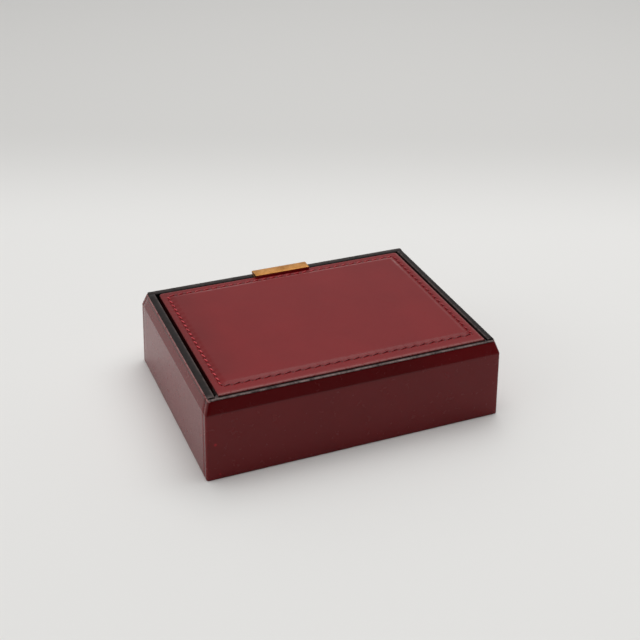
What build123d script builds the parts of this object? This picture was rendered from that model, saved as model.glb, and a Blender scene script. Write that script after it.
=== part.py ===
"""A box for two packs of playing cards: leather over wood, a padded lid on a leather hinge, a brass pull.

Millimetres. The origin is on the floor under the middle of the case, X runs along the case,
+Y points to the front, where the pull is, and Z is up. The hinge runs along the back.
"""

import os

from build123d import *

os.makedirs("parts", exist_ok=True)

# Outside of the case
case_length = 150.0
case_width = 112.5
rim_height = 41.1
bevel_height = 5.75
wall_lean = 1.0
bevel_inset = 2.3
corner_radius = 1.3
foot_rounding = 0.5

# Leather, felt and suede
cladding = 1.1
rim_leather = 1.1
rim_width = 3.3
rim_turn = 0.8
rim_setback = 0.25
turn_under = 8.0
seam_setback = 3.0
seam_gap = 0.25
well_lining = 1.0

# Inside of the case
floor_thickness = 3.5
liner_thickness = 3.8
divider_thickness = 4.0
divider_seat = 1.0
finger_dip_radius = 20.0
finger_dip_depth = 9.0
fit_gap = 0.1

# Lid
lid_gap = 1.2
lid_lap = 1.4
lid_rest_gap = 0.2
lid_lining_thickness = 0.8
lid_board_thickness = 4.0
lid_leather_thickness = 1.1
lid_corner_radius = 1.5
lid_edge_rounding = 0.4
turn_in = 6.0
stitch_margin = 3.9
field_rise = 0.2
stitch_groove_width = 1.2
stitch_groove_depth = 0.35
stitch_corner_radius = 2.0

# Leather hinge along the back
hinge_crease = 0.15
hinge_axis_rise = 0.3
crease_radius = 0.7
hinge_grip = 8.0

# Brass pull at the front
tab_length = 30.0
tab_depth = 7.0
tab_overhang = 0.45
tab_sheet = 0.6
tab_rest_gap = 0.1
tongue_thickness = 1.0
tongue_end_gap = 0.3
tab_edge_chamfer = 0.15

# Places worked out from the sizes above
shoulder_height = rim_height - bevel_height
recess_half_length = case_length / 2 - wall_lean - bevel_inset - rim_width
recess_half_width = case_width / 2 - wall_lean - bevel_inset - rim_width
rim_half_width = recess_half_width + rim_width
wall_half_length = recess_half_length + rim_turn
wall_half_width = recess_half_width + rim_turn
wall_top = rim_height - rim_leather
floor_top = cladding + floor_thickness
lid_half_length = recess_half_length - lid_gap
lid_front = recess_half_width - lid_gap
tab_bottom = rim_height + tab_rest_gap
margin_top = tab_bottom + tab_sheet
lid_top = margin_top + field_rise
padding_top = lid_top - lid_leather_thickness
board_top = wall_top
padding = padding_top - board_top
board_bottom = board_top - lid_board_thickness
lid_bottom = board_bottom - lid_lining_thickness
ledge_height = lid_bottom - lid_rest_gap
board_half_length = lid_half_length - lid_leather_thickness
board_front = lid_front - lid_leather_thickness
board_back = -(recess_half_width - lid_gap)
lid_back = -(recess_half_width + lid_lap)
hinge_fold = lid_back - hinge_crease
well_half_length = wall_half_length - liner_thickness
well_half_width = wall_half_width - liner_thickness
tab_front = rim_half_width + tab_overhang
far = case_length


def lean_at(height):
    """How far the outside has drawn in from the widest outline at a height."""
    foot = max(foot_rounding - height, 0)
    wall = wall_lean * min(height, shoulder_height) / shoulder_height
    bevel = bevel_inset * max(height - shoulder_height, 0) / bevel_height
    return foot + wall + bevel


def case_form(low, high, inset=0.0, inset_ends=None, corner=0.0):
    """The form of the case between two heights: leaning walls, then the bevel, drawn in by inset.

    inset_ends draws in the two ends by another amount, and corner rounds the upright edges.
    """
    ends = inset if inset_ends is None else inset_ends
    bends = [level for level in (foot_rounding, shoulder_height) if low < level < high]
    with BuildPart() as form:
        for level in [low, *bends, high]:
            length = case_length - 2 * (ends + lean_at(level))
            width = case_width - 2 * (inset + lean_at(level))
            with BuildSketch(Plane.XY.offset(level)) as section:
                Rectangle(length, width)
                if corner > 0:
                    fillet(section.vertices(), corner)
        loft(ruled=True)
    return form.part


def block(x_low, x_high, y_low, y_high, z_low, z_high):
    """A plain block between two corners, used to cut the forms."""
    with BuildPart() as solid:
        with BuildSketch(Plane.XY.offset(z_low)):
            with Locations(((x_low + x_high) / 2, (y_low + y_high) / 2)):
                Rectangle(x_high - x_low, y_high - y_low)
        extrude(amount=z_high - z_low)
    return solid.part


def save(piece, name):
    """Label a finished piece and write it."""
    piece.part.label = name
    export_step(piece.part, f"parts/{name}.step")


# Forms that several pieces are cut from
inner_corner = max(corner_radius - cladding, 0.1)
cladding_outside = case_form(0, wall_top, corner=corner_radius)
cladding_inside = case_form(0, wall_top, inset=cladding, corner=inner_corner)
short_side_cut = case_form(0, wall_top, inset=seam_setback + seam_gap, inset_ends=-cladding)
long_side_cut = case_form(0, wall_top, inset=seam_setback, inset_ends=-cladding)
under_half_length = case_length / 2 - turn_under
under_half_width = case_width / 2 - turn_under
turned_under = case_form(0, cladding, inset=cladding, corner=inner_corner)
wall_form = case_form(cladding, wall_top, inset=cladding, corner=inner_corner)
rim_form = case_form(wall_top, rim_height, inset=rim_setback, corner=corner_radius)

# Everything on one side of a plane, for each side of the case
front_half = block(-far, far, 0, far, -far, far)
back_half = block(-far, far, -far, 0, -far, far)
right_half = block(0, far, -far, far, -far, far)
left_half = block(-far, 0, -far, far, -far, far)
front_band = block(-far, far, wall_half_width, far, -far, far)
back_band = block(-far, far, -far, -wall_half_width, -far, far)
right_band = block(wall_half_length, far, -wall_half_width, wall_half_width, -far, far)
left_band = block(-far, -wall_half_length, -wall_half_width, wall_half_width, -far, far)
front_rim_band = block(-far, far, recess_half_width, far, -far, far)
hinge_band = block(-far, far, -far, hinge_fold, -far, far)

# Floor board, let in between the walls
with BuildPart() as floor_board:
    with BuildSketch(Plane.XY.offset(cladding)):
        Rectangle(2 * wall_half_length, 2 * wall_half_width)
    extrude(amount=floor_thickness)
save(floor_board, "floor_board")

# Wooden walls: the long ones run from end to end, the short ones stand between them
for name, band in {
    "front_wall": front_band,
    "back_wall": back_band,
    "left_wall": left_band,
    "right_wall": right_band,
}.items():
    with BuildPart() as wall:
        add(wall_form)
        add(band, mode=Mode.INTERSECT)
    save(wall, name)

# Leather on the long sides: round the corners as far as the seams, and turned under the foot
long_under_back = block(-far, far, -far, -under_half_width, -far, far)
long_under_front = block(-far, far, under_half_width, far, -far, far)
with BuildPart() as front_leather:
    add(cladding_outside)
    add(cladding_inside, mode=Mode.SUBTRACT)
    add(long_side_cut, mode=Mode.SUBTRACT)
    add(turned_under & long_under_front)
    add(front_half, mode=Mode.INTERSECT)
save(front_leather, "front_leather")

with BuildPart() as back_leather:
    add(cladding_outside)
    add(cladding_inside, mode=Mode.SUBTRACT)
    add(long_side_cut, mode=Mode.SUBTRACT)
    add(turned_under & long_under_back)
    add(back_half, mode=Mode.INTERSECT)
save(back_leather, "back_leather")

# Leather on the short sides, between the seams
short_under_left = block(-far, -under_half_length, -under_half_width, under_half_width, -far, far)
short_under_right = block(under_half_length, far, -under_half_width, under_half_width, -far, far)
for name, half, under in (
    ("left_leather", left_half, short_under_left),
    ("right_leather", right_half, short_under_right),
):
    with BuildPart() as short_leather:
        add(cladding_outside)
        add(cladding_inside, mode=Mode.SUBTRACT)
        add(short_side_cut, mode=Mode.INTERSECT)
        add(turned_under & under)
        add(half, mode=Mode.INTERSECT)
    save(short_leather, name)

# Felt under the box, between the turned edges of the leather
with BuildPart() as base_cover:
    with BuildSketch(Plane.XY):
        Rectangle(2 * (under_half_length - fit_gap), 2 * (under_half_width - fit_gap))
    extrude(amount=cladding)
save(base_cover, "base_cover")

# Black leather over the tops of the front and short walls and their cladding, and turned down inside the walls
# as far as the lid's ledge
front_turn = block(
    -wall_half_length, wall_half_length, recess_half_width, wall_half_width, ledge_height, wall_top
)
with BuildPart() as front_rim:
    add(rim_form)
    add(front_rim_band, mode=Mode.INTERSECT)
    add(front_turn)
save(front_rim, "front_rim")

side_rim_length = recess_half_width - hinge_fold
for name, side in (("left_rim", -1), ("right_rim", 1)):
    with BuildPart() as side_rim:
        add(rim_form)
        with Locations((side * (recess_half_length + far / 2), recess_half_width - side_rim_length / 2, 0)):
            Box(far, side_rim_length, far, mode=Mode.INTERSECT)
        with BuildSketch(Plane.XY.offset(ledge_height)):
            with Locations((side * (recess_half_length + rim_turn / 2), 0)):
                Rectangle(rim_turn, 2 * recess_half_width)
        extrude(amount=wall_top - ledge_height)
    save(side_rim, name)

# Black leather on the recess's back face, under the hinge strip
with BuildPart() as back_recess_strip:
    with BuildSketch(Plane.XY.offset(ledge_height)):
        with Locations((0, -recess_half_width - rim_turn / 2)):
            Rectangle(2 * wall_half_length, rim_turn)
    extrude(amount=wall_top - ledge_height)
save(back_recess_strip, "back_recess_strip")

# Hinge strip: flat on the back rim, thinner where it runs on under the lid's leather, and folding between them
# in a round crease on the hinge's axis
with BuildPart() as hinge_leather:
    add(rim_form)
    add(hinge_band, mode=Mode.INTERSECT)
    with BuildSketch(Plane.XY.offset(wall_top)):
        with Locations((0, hinge_fold)):
            Rectangle(2 * recess_half_length, -recess_half_width - hinge_fold, align=(Align.CENTER, Align.MIN))
        with Locations((0, hinge_fold)):
            Rectangle(2 * board_half_length, board_back + hinge_grip - hinge_fold, align=(Align.CENTER, Align.MIN))
    extrude(amount=padding)
    with BuildSketch(Plane.YZ) as crease:
        with Locations((hinge_fold, rim_height + hinge_axis_rise)):
            Circle(crease_radius)
    extrude(amount=far, both=True, mode=Mode.SUBTRACT)
save(hinge_leather, "hinge_leather")

# Inner boards: the long ones are grooved for the divider, and all four carry the lid
liner_height = ledge_height - floor_top
groove_width = divider_thickness + 2 * fit_gap
for name, side in (("front_liner", 1), ("back_liner", -1)):
    with BuildPart() as long_liner:
        with BuildSketch(Plane.XY.offset(floor_top)):
            with Locations((0, side * (well_half_width + liner_thickness / 2))):
                Rectangle(2 * wall_half_length, liner_thickness)
            with Locations((0, side * (well_half_width + divider_seat / 2))):
                Rectangle(groove_width, divider_seat, mode=Mode.SUBTRACT)
        extrude(amount=liner_height)
    save(long_liner, name)

for name, side in (("left_liner", -1), ("right_liner", 1)):
    with BuildPart() as short_liner:
        with BuildSketch(Plane.XY.offset(floor_top)):
            with Locations((side * (well_half_length + liner_thickness / 2), 0)):
                Rectangle(liner_thickness, 2 * well_half_width)
        extrude(amount=liner_height)
    save(short_liner, name)

# Divider between the two wells, with a dip for the fingers
dip_centre = ledge_height - finger_dip_depth + finger_dip_radius
with BuildPart() as divider:
    with BuildSketch(Plane.XY.offset(floor_top)):
        Rectangle(divider_thickness, 2 * (well_half_width + divider_seat - fit_gap))
    extrude(amount=liner_height)
    with BuildSketch(Plane.YZ) as dip:
        with Locations((0, dip_centre)):
            Circle(finger_dip_radius)
    extrude(amount=divider_thickness, both=True, mode=Mode.SUBTRACT)
save(divider, "divider")

# Suede pads on the floor of the two wells
well_length = well_half_length - divider_thickness / 2
for name, side in (("left_well_lining", -1), ("right_well_lining", 1)):
    with BuildPart() as lining:
        with BuildSketch(Plane.XY.offset(floor_top)):
            with Locations((side * (divider_thickness + well_length) / 2, 0)):
                Rectangle(well_length - 2 * fit_gap, 2 * (well_half_width - fit_gap))
        extrude(amount=well_lining)
    save(lining, name)

# Lid board
with BuildPart() as lid_board:
    with BuildSketch(Plane.XY.offset(board_bottom)):
        with Locations((0, board_back)):
            Rectangle(2 * board_half_length, board_front - board_back, align=(Align.CENTER, Align.MIN))
    extrude(amount=lid_board_thickness)
save(lid_board, "lid_board")

# Thin pad on the board, in front of the hinge strip
padding_back = board_back + hinge_grip
with BuildPart() as lid_padding:
    with BuildSketch(Plane.XY.offset(board_top)):
        with Locations((0, padding_back)):
            Rectangle(2 * board_half_length, board_front - padding_back, align=(Align.CENTER, Align.MIN))
    extrude(amount=padding)
save(lid_padding, "lid_padding")

# Suede on the lid's underside, inside the turned-in edges of the leather
lining_half_length = lid_half_length - turn_in
lining_front = lid_front - turn_in
with BuildPart() as lid_lining:
    with BuildSketch(Plane.XY.offset(lid_bottom)):
        with Locations((0, board_back)):
            lining_width = lining_front - fit_gap - board_back
            Rectangle(2 * (lining_half_length - fit_gap), lining_width, align=(Align.CENTER, Align.MIN))
    extrude(amount=lid_lining_thickness)
save(lid_lining, "lid_lining")

# Lid leather: over the pad, round three edges and under the board, and at the back out on to the rim
stitch_half_length = lid_half_length - stitch_margin
stitch_half_width = lid_front - stitch_margin
field_half_length = stitch_half_length - stitch_groove_width / 2
field_half_width = stitch_half_width - stitch_groove_width / 2
with BuildPart() as lid_leather:
    with BuildSketch(Plane.XY.offset(lid_bottom)) as lid_outline:
        with Locations((0, board_back)):
            Rectangle(2 * lid_half_length, lid_front - board_back, align=(Align.CENTER, Align.MIN))
        fillet(lid_outline.vertices().group_by(Axis.Y)[-1], lid_corner_radius)
    extrude(amount=margin_top - lid_bottom)
    with BuildSketch(Plane.XY.offset(padding_top)):
        with Locations((0, lid_back)):
            Rectangle(2 * lid_half_length, board_back - lid_back, align=(Align.CENTER, Align.MIN))
    extrude(amount=margin_top - padding_top)
    with BuildSketch(Plane.XY.offset(lid_bottom)):
        with Locations((0, board_back)):
            Rectangle(2 * lining_half_length, lining_front - board_back, align=(Align.CENTER, Align.MIN))
    extrude(amount=lid_lining_thickness, mode=Mode.SUBTRACT)
    with BuildSketch(Plane.XY.offset(board_bottom)):
        with Locations((0, board_back)):
            Rectangle(2 * board_half_length, board_front - board_back, align=(Align.CENTER, Align.MIN))
    extrude(amount=padding_top - board_bottom, mode=Mode.SUBTRACT)
    fillet(lid_leather.faces().sort_by(Axis.Z)[-1].outer_wire().edges(), lid_edge_rounding)
    with BuildSketch(Plane.XY.offset(margin_top)):
        RectangleRounded(2 * field_half_length, 2 * field_half_width, stitch_corner_radius)
    extrude(amount=field_rise)
    with BuildSketch(Plane.XY.offset(margin_top)):
        RectangleRounded(
            2 * (field_half_length + stitch_groove_width),
            2 * (field_half_width + stitch_groove_width),
            stitch_corner_radius + stitch_groove_width,
        )
        RectangleRounded(2 * field_half_length, 2 * field_half_width, stitch_corner_radius, mode=Mode.SUBTRACT)
    extrude(amount=-(stitch_groove_depth - field_rise), mode=Mode.SUBTRACT)
save(lid_leather, "lid_leather")

# Brass pull: a leather tongue on the lid's front edge, with a brass sheet folded round it
tab_back = tab_front - tab_depth
tongue_top = margin_top + tongue_thickness
fold_radius = tab_sheet + tongue_thickness / 2
fold_centre = tab_front - fold_radius
fold_middle = margin_top + tongue_thickness / 2
lower_leg_back = lid_front + tab_sheet
with BuildPart() as tab_tongue:
    with BuildSketch(Plane.YZ.offset(tongue_end_gap - tab_length / 2)):
        with Locations((tab_back + tongue_end_gap, margin_top)):
            Rectangle(fold_centre - tab_back - tongue_end_gap, tongue_thickness, align=(Align.MIN, Align.MIN))
    extrude(amount=tab_length - 2 * tongue_end_gap)
save(tab_tongue, "tab_tongue")

with BuildPart() as tab_clip:
    with BuildSketch(Plane.YZ.offset(-tab_length / 2)):
        with BuildLine():
            Polyline(
                (fold_centre, tongue_top),
                (tab_back, tongue_top),
                (tab_back, tongue_top + tab_sheet),
                (fold_centre, tongue_top + tab_sheet),
            )
            ThreePointArc(
                (fold_centre, tongue_top + tab_sheet),
                (tab_front, fold_middle),
                (fold_centre, tab_bottom),
            )
            Polyline(
                (fold_centre, tab_bottom),
                (lower_leg_back, tab_bottom),
                (lower_leg_back, margin_top),
                (fold_centre, margin_top),
            )
            ThreePointArc(
                (fold_centre, margin_top),
                (fold_centre + tongue_thickness / 2, fold_middle),
                (fold_centre, tongue_top),
            )
        make_face()
    extrude(amount=tab_length)
    chamfer(tab_clip.faces().sort_by(Axis.Z)[-1].edges().group_by(Axis.Y)[0], tab_edge_chamfer)
save(tab_clip, "tab_clip")
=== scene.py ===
"""Looks of the leather card box: cladding, rim, padded lid, stitching, hinge strip and brass pull."""

import math

import bmesh
import bpy
import numpy as np
from mathutils import Matrix, Vector


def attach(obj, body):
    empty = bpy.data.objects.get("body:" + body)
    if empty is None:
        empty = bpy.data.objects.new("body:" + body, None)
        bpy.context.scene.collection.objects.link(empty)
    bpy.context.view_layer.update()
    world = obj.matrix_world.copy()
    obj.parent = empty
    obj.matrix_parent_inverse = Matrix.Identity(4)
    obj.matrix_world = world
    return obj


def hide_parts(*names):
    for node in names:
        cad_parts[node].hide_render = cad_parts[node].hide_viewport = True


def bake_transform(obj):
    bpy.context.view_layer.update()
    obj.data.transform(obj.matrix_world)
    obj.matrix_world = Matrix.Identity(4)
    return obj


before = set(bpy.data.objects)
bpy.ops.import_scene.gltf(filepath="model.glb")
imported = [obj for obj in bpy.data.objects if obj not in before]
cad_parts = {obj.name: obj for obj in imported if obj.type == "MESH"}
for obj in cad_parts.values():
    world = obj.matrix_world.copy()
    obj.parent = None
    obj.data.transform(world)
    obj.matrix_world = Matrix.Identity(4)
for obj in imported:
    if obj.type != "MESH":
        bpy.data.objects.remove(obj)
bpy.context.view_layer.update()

MM = 0.001

# Sizes of the case, in millimetres. They are those of the solids, apart from the bevel: it starts
# 0.75 mm lower, as it does in the photograph.
CASE_LENGTH = 150.0
CASE_WIDTH = 112.5
RIM_HEIGHT = 41.1
BEVEL_HEIGHT = 6.5
SHOULDER_HEIGHT = RIM_HEIGHT - BEVEL_HEIGHT
WALL_LEAN = 1.0
BEVEL_INSET = 2.3
CORNER_RADIUS = 1.3
CLADDING = 1.1
RIM_LEATHER = 1.1
RIM_TURN = 0.8
LEDGE_HEIGHT = 35.0
SEAM_SETBACK = 3.0
SEAM_GAP = 0.25
TURN_UNDER = 8.0
RECESS_HALF_LENGTH = 68.4
RECESS_HALF_WIDTH = 49.65
WALL_TOP = RIM_HEIGHT - RIM_LEATHER

# Sizes of the lid. They are those of the solids, apart from its length, which is 0.4 mm less at each end.
# It lies a little to the right in its recess.
LID_TO_RIGHT = 0.45
LID_HALF_LENGTH = 66.8
LID_FRONT = 48.45
LID_BACK = -51.05
BOARD_HALF_LENGTH = 66.1
BOARD_FRONT = 47.35
BOARD_BACK = -48.45
LID_BOTTOM = 35.2
BOARD_BOTTOM = 36.0
PADDING_TOP = 40.9
MARGIN_TOP = 41.8
STITCH_HALF_LENGTH = 63.3
STITCH_HALF_WIDTH = 44.55
HINGE_FOLD = -51.2
HINGE_GRIP = 8.0

# Sizes of the pull
TAB_LENGTH = 30.0
TAB_DEPTH = 7.0
TAB_SHEET = 0.6
TAB_OVERHANG = 0.45
TAB_FRONT = CASE_WIDTH / 2 - WALL_LEAN - BEVEL_INSET + TAB_OVERHANG
TAB_BACK = TAB_FRONT - TAB_DEPTH
TONGUE = 1.0
TONGUE_TOP = MARGIN_TOP + TONGUE

# Kept between faces that would lie on one another
SKIN = 0.01


def lean_at(height):
    """How far the outside of the case has drawn in from its foot at a height, or at each of many."""
    wall = WALL_LEAN * np.minimum(height, SHOULDER_HEIGHT) / SHOULDER_HEIGHT
    bevel = BEVEL_INSET * np.maximum(height - SHOULDER_HEIGHT, 0) / BEVEL_HEIGHT
    return wall + bevel


# Mesh helpers

def add_object(name, data):
    """A new object in the scene."""
    added = bpy.data.objects.new(name, data)
    bpy.context.scene.collection.objects.link(added)
    return added


def mesh_object(name, points_mm, faces, weld_mm=0):
    """A smooth-shaded mesh piece from points in millimetres. Points within weld_mm become one."""
    mesh = bpy.data.meshes.new(name)
    mesh.from_pydata([tuple(c * MM for c in p) for p in points_mm], [], faces)
    mesh.validate()
    work = bmesh.new()
    work.from_mesh(mesh)
    if weld_mm:
        bmesh.ops.remove_doubles(work, verts=work.verts, dist=weld_mm * MM)
    bmesh.ops.recalc_face_normals(work, faces=work.faces)
    work.to_mesh(mesh)
    work.free()
    mesh.polygons.foreach_set("use_smooth", [True] * len(mesh.polygons))
    return add_object(name, mesh)


def loop_faces(first, second):
    """Faces between two loops with the same number of points."""
    count = len(first)
    return [(first[i], first[(i + 1) % count], second[(i + 1) % count], second[i]) for i in range(count)]


def loft_rings(name, rings):
    """A closed form through rings with the same number of points, capped at both ends."""
    count = len(rings[0])
    loops = [range(start, start + count) for start in range(0, count * len(rings), count)]
    faces = [face for first, second in zip(loops, loops[1:]) for face in loop_faces(first, second)]
    faces.append(tuple(loops[0]))
    faces.append(tuple(reversed(loops[-1])))
    return mesh_object(name, [point for ring in rings for point in ring], faces)


def grid_faces(width, depth):
    """Faces of a grid of points that are kept row by row."""
    corners = [row * width + column for row in range(depth - 1) for column in range(width - 1)]
    return [(k, k + 1, k + width + 1, k + width) for k in corners]


def grid_border(width, depth):
    """The points round a grid's border, in order."""
    border = list(range(width))
    border += [row * width + width - 1 for row in range(1, depth)]
    border += [(depth - 1) * width + column for column in range(width - 2, -1, -1)]
    border += [row * width for row in range(depth - 2, 0, -1)]
    return border


def apply_modifiers(piece):
    """Turn a piece's modifiers into its mesh."""
    graph = bpy.context.evaluated_depsgraph_get()
    mesh = bpy.data.meshes.new_from_object(piece.evaluated_get(graph))
    piece.modifiers.clear()
    piece.data = mesh


def round_edges(piece, radius_mm, segments=3, angle=35):
    """Round a piece's sharp edges."""
    bevel = piece.modifiers.new("rounded", "BEVEL")
    bevel.width = radius_mm * MM
    bevel.segments = segments
    bevel.limit_method = "ANGLE"
    bevel.angle_limit = math.radians(angle)
    bevel.use_clamp_overlap = True
    apply_modifiers(piece)
    shade_by_angle(piece)


def shade_by_angle(piece, angle=40):
    """Smooth shading, apart from edges sharper than the angle."""
    work = bmesh.new()
    work.from_mesh(piece.data)
    for edge in work.edges:
        edge.smooth = len(edge.link_faces) != 2 or edge.calc_face_angle(0) < math.radians(angle)
    for face in work.faces:
        face.smooth = True
    work.to_mesh(piece.data)
    work.free()


def join(name, pieces):
    """Several meshes as one piece."""
    work = bmesh.new()
    for piece in pieces:
        work.from_mesh(piece.data)
    mesh = bpy.data.meshes.new(name)
    work.to_mesh(mesh)
    work.free()
    for piece in pieces:
        bpy.data.objects.remove(piece)
    return add_object(name, mesh)


def block(name, low, high):
    """A plain block between two corners."""
    (x0, y0, z0), (x1, y1, z1) = low, high
    ring = [(x0, y0), (x1, y0), (x1, y1), (x0, y1)]
    return loft_rings(name, [[(x, y, z) for x, y in ring] for z in (z0, z1)])


def arc(centre, radius, start, end, steps):
    """Points of an arc in a plane, by angles in degrees."""
    angles = [math.radians(start + (end - start) * k / steps) for k in range(steps + 1)]
    return [(centre[0] + radius * math.cos(a), centre[1] + radius * math.sin(a)) for a in angles]


def spread(start, end, steps):
    """Evenly spaced values, both ends included."""
    return [start + (end - start) * k / steps for k in range(steps + 1)]


# Cladding

SHOULDER_ROUNDING = 0.4
FOOT_ROUNDING = 0.6
TOP_EDGE = 0.2
CLADDING_TOP = 40.65
CUT_EDGE = 0.22
TURNED_EDGE = 0.2


def cladding_profile():
    """The cladding's closed section as (drawn in from the foot, height), up outside and down inside."""
    foot = [(FOOT_ROUNDING + x, FOOT_ROUNDING + z) for x, z in arc((0, 0), FOOT_ROUNDING, 270, 180, 4)]
    turn_start, turn_end = SHOULDER_HEIGHT - SHOULDER_ROUNDING, SHOULDER_HEIGHT + SHOULDER_ROUNDING
    wall = [(lean_at(z), z) for z in spread(2.0, turn_start, 12)]
    low = Vector((lean_at(turn_start), turn_start))
    corner = Vector((WALL_LEAN, SHOULDER_HEIGHT))
    high = Vector((lean_at(turn_end), turn_end))
    turn = []
    for t in (k / 6 for k in range(1, 6)):
        point = (1 - t) ** 2 * low + 2 * t * (1 - t) * corner + t ** 2 * high
        turn.append((point.x, point.y))
    bevel = [(lean_at(z), z) for z in spread(turn_end, CLADDING_TOP - TOP_EDGE, 14)]
    top = [(lean_at(CLADDING_TOP) + TOP_EDGE, CLADDING_TOP)]
    inside = [(lean_at(z) + CLADDING, z) for z in (CLADDING_TOP, SHOULDER_HEIGHT, 2.0, 0.0)]
    return foot + wall + turn + bevel + top + inside


def long_path(drawn_in, side):
    """The plan of a long panel at one height: round both corners, as far as the seams."""
    half_length = CASE_LENGTH / 2 - drawn_in
    half_width = CASE_WIDTH / 2 - drawn_in
    radius = max(CORNER_RADIUS - max(drawn_in - lean_at(RIM_HEIGHT), 0), 0.3)
    seam = half_width - SEAM_SETBACK
    left = [(-half_length, y) for y in spread(seam, half_width - radius, 2)]
    left_corner = arc((-half_length + radius, half_width - radius), radius, 180, 90, 6)[1:]
    straight = [(x, half_width) for x in spread(-half_length + radius, half_length - radius, 50)][1:-1]
    right_corner = arc((half_length - radius, half_width - radius), radius, 90, 0, 6)
    right = [(half_length, y) for y in spread(half_width - radius, seam, 2)][1:]
    return [(x, side * y) for x, y in left + left_corner + straight + right_corner + right]


def short_path(drawn_in, side):
    """The plan of a short panel at one height, between the seams."""
    seam = CASE_WIDTH / 2 - drawn_in - SEAM_SETBACK - SEAM_GAP
    return [(side * (CASE_LENGTH / 2 - drawn_in), y) for y in spread(-seam, seam, 36)]


def clad(name, path, side, under):
    """One panel of the cladding, with the strip that it turns under the box."""
    levels = [(path(drawn_in, side), height) for drawn_in, height in cladding_profile()]
    rings = [[(*plan[i], height) for plan, height in levels] for i in range(len(levels[0][0]))]
    wall = loft_rings(name + "_wall", rings)
    round_edges(wall, CUT_EDGE, segments=2, angle=50)
    turned = block(name + "_under", *under)
    round_edges(turned, TURNED_EDGE, segments=2)
    return join(name, [wall, turned])


under_half_length = CASE_LENGTH / 2 - TURN_UNDER
under_half_width = CASE_WIDTH / 2 - TURN_UNDER
inner_half_length = CASE_LENGTH / 2 - CLADDING - 0.1
inner_half_width = CASE_WIDTH / 2 - CLADDING - 0.1
front_leather = clad(
    "front_leather_panel", long_path, 1,
    ((-inner_half_length, under_half_width, 0), (inner_half_length, inner_half_width, CLADDING)),
)
back_leather = clad(
    "back_leather_panel", long_path, -1,
    ((-inner_half_length, -inner_half_width, 0), (inner_half_length, -under_half_width, CLADDING)),
)
left_leather = clad(
    "left_leather_panel", short_path, -1,
    ((-inner_half_length, -under_half_width, 0), (-under_half_length, under_half_width, CLADDING)),
)
right_leather = clad(
    "right_leather_panel", short_path, 1,
    ((under_half_length, -under_half_width, 0), (inner_half_length, under_half_width, CLADDING)),
)

# Black rim strips, over the walls' tops and turned down inside them. The edge shown is how far the cladding's
# top shows outside them. The short sides' strips start a little to the right of the recess's edges.

RIM_EDGE = 0.45
RIM_OUTER_EDGE = 0.3
RIM_CROWN = 0.15
RIM_RISE = 0.25
EDGE_SHOWN_LEFT = 0.38
EDGE_SHOWN = 0.05
RIM_TO_RIGHT = 0.35
STRIP_END = 0.12
WALL_HALF_LENGTH = RECESS_HALF_LENGTH + RIM_TURN
WALL_HALF_WIDTH = RECESS_HALF_WIDTH + RIM_TURN
cladding_half_length = CASE_LENGTH / 2 - lean_at(CLADDING_TOP)
cladding_half_width = CASE_WIDTH / 2 - lean_at(CLADDING_TOP)
rim_left = -cladding_half_length + EDGE_SHOWN_LEFT
rim_right = cladding_half_length - EDGE_SHOWN
rim_half_width = cladding_half_width - EDGE_SHOWN


def rim_section(inner, outer, cladding_outside, wall_inside, turned):
    """A rim strip's section as (distance from the middle of the case, height), turned down inside or not."""
    low = LEDGE_HEIGHT if turned else WALL_TOP
    top = RIM_HEIGHT + RIM_RISE
    over_cladding = cladding_outside - CLADDING
    inner_edge = arc((inner + RIM_EDGE, top - RIM_EDGE), RIM_EDGE, 180, 90, 5)
    crown = []
    for share in spread(0, 1, 8)[1:-1]:
        across = inner + RIM_EDGE + (outer - RIM_OUTER_EDGE - inner - RIM_EDGE) * share
        crown.append((across, top + RIM_CROWN * (1 - (2 * share - 1) ** 2)))
    outer_edge = arc((outer - RIM_OUTER_EDGE, top - RIM_OUTER_EDGE), RIM_OUTER_EDGE, 90, 0, 4)
    section = [(inner, low), (inner, (low + RIM_HEIGHT) / 2 - 0.3), *inner_edge, *crown, *outer_edge]
    section += [(outer, CLADDING_TOP + SKIN), (over_cladding, CLADDING_TOP + SKIN), (over_cladding, WALL_TOP)]
    section += [(wall_inside, WALL_TOP), (wall_inside, low)]
    return section


def corner_end(across, half_across, end):
    """How far along a strip its end lies at a distance from the middle, with the case's corner rounded."""
    over = max(across - (half_across - CORNER_RADIUS), 0)
    return end - CORNER_RADIUS + math.sqrt(max(CORNER_RADIUS ** 2 - over ** 2, 0))


def along_rim(share, across, half_across):
    """A place along a long strip: -1 at the rim's left end, 1 at its right end."""
    left = -corner_end(across, half_across, -rim_left)
    right = corner_end(across, half_across, rim_right)
    return left + (right - left) * (share + 1) / 2


def front_strip():
    """The strip on the front wall. It runs into both corners."""
    rings = []
    ends = (-WALL_HALF_LENGTH - 0.02, -WALL_HALF_LENGTH, WALL_HALF_LENGTH, WALL_HALF_LENGTH + 0.02)
    turns = [2 * (x - rim_left) / (rim_right - rim_left) - 1 for x in ends]
    for share in sorted(spread(-1, 1, 40) + turns):
        turned = turns[1] - 1e-6 < share < turns[2] + 1e-6
        section = rim_section(RECESS_HALF_WIDTH, rim_half_width, cladding_half_width, WALL_HALF_WIDTH, turned)
        rings.append([(along_rim(share, u, rim_half_width), u, z) for u, z in section])
    return rings


def side_strip(side):
    """The strip on a short wall, from the hinge strip to the front strip."""
    rings = []
    turn = (-RECESS_HALF_WIDTH - 0.02, -RECESS_HALF_WIDTH)
    inner = RECESS_HALF_LENGTH + side * RIM_TO_RIGHT
    outer = rim_right if side > 0 else -rim_left
    for along in sorted(spread(HINGE_FOLD, RECESS_HALF_WIDTH, 34) + list(turn)):
        turned = along > -RECESS_HALF_WIDTH - 0.01
        section = rim_section(inner, outer, cladding_half_length, WALL_HALF_LENGTH, turned)
        rings.append([(side * u, along, z) for u, z in section])
    return rings


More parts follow.
